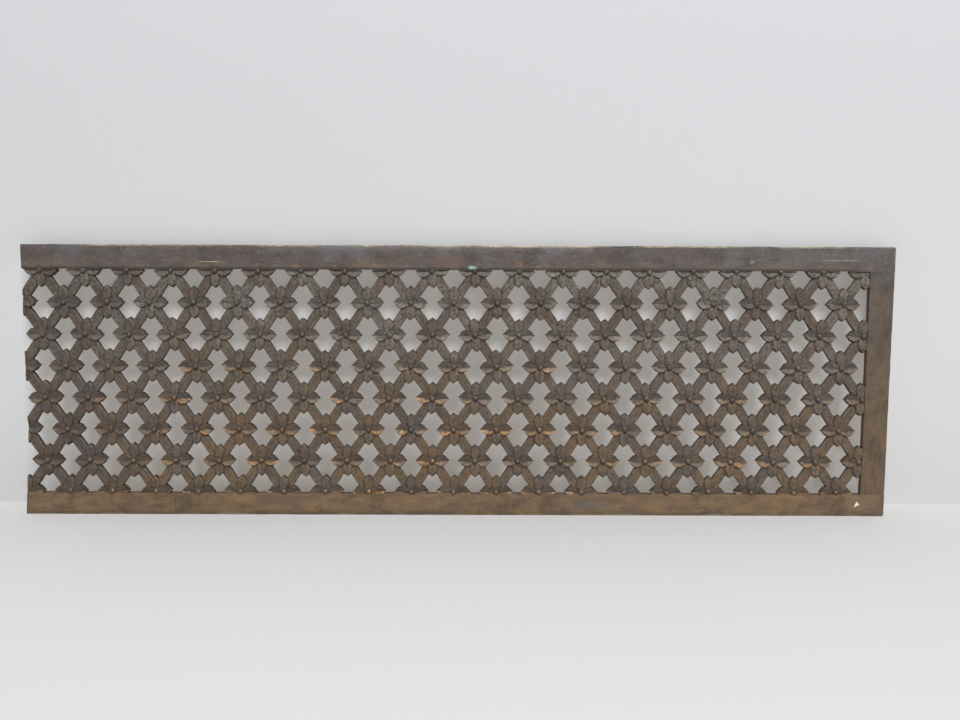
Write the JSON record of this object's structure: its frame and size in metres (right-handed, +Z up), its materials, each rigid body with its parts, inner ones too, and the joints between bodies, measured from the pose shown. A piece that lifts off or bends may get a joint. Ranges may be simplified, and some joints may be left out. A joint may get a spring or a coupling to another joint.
{
  "type": "pierced air grille panel",
  "caption": "Flat cast brass air grille panel with a plain border and a pierced diagonal lattice that carries petalled rosettes with domed bosses, open where its end was sawn off.",
  "frame": {"origin": "under the middle of the bottom edge, halfway through the depth", "axes": "+X along the length, with the sawn end at -X; +Z up; the decorated front faces -Y and the flat back faces +Y"},
  "size_m": [0.65, 0.0064, 0.203],
  "materials": {
    "border_brass": "aged brown patina, smoother, rubbed paler on the arrises",
    "lattice_brass": "aged brown patina, as cast",
    "rosette_brass": "aged brown patina with rubbed golden facets",
    "boss_brass": "aged brown patina, rubbed on top"
  },
  "bodies": {
    "root": {"top_rail": "border_brass", "bottom_rail": "border_brass", "right_stile": "border_brass", "lattice_web": "lattice_brass", "rosettes_row_1": "rosette_brass", "rosettes_row_2": "rosette_brass", "rosettes_row_3": "rosette_brass", "rosettes_row_4": "rosette_brass", "rosettes_row_5": "rosette_brass", "rosettes_row_6": "rosette_brass", "half_rosettes_top": "rosette_brass", "half_rosettes_bottom": "rosette_brass", "half_rosettes_right": "rosette_brass", "cut_rosettes_left": "rosette_brass", "bosses_row_1": "boss_brass", "bosses_row_2": "boss_brass", "bosses_row_3": "boss_brass", "bosses_row_4": "boss_brass", "bosses_row_5": "boss_brass", "bosses_row_6": "boss_brass", "bosses_top": "boss_brass", "bosses_bottom": "boss_brass"}
  },
  "joints": []
}
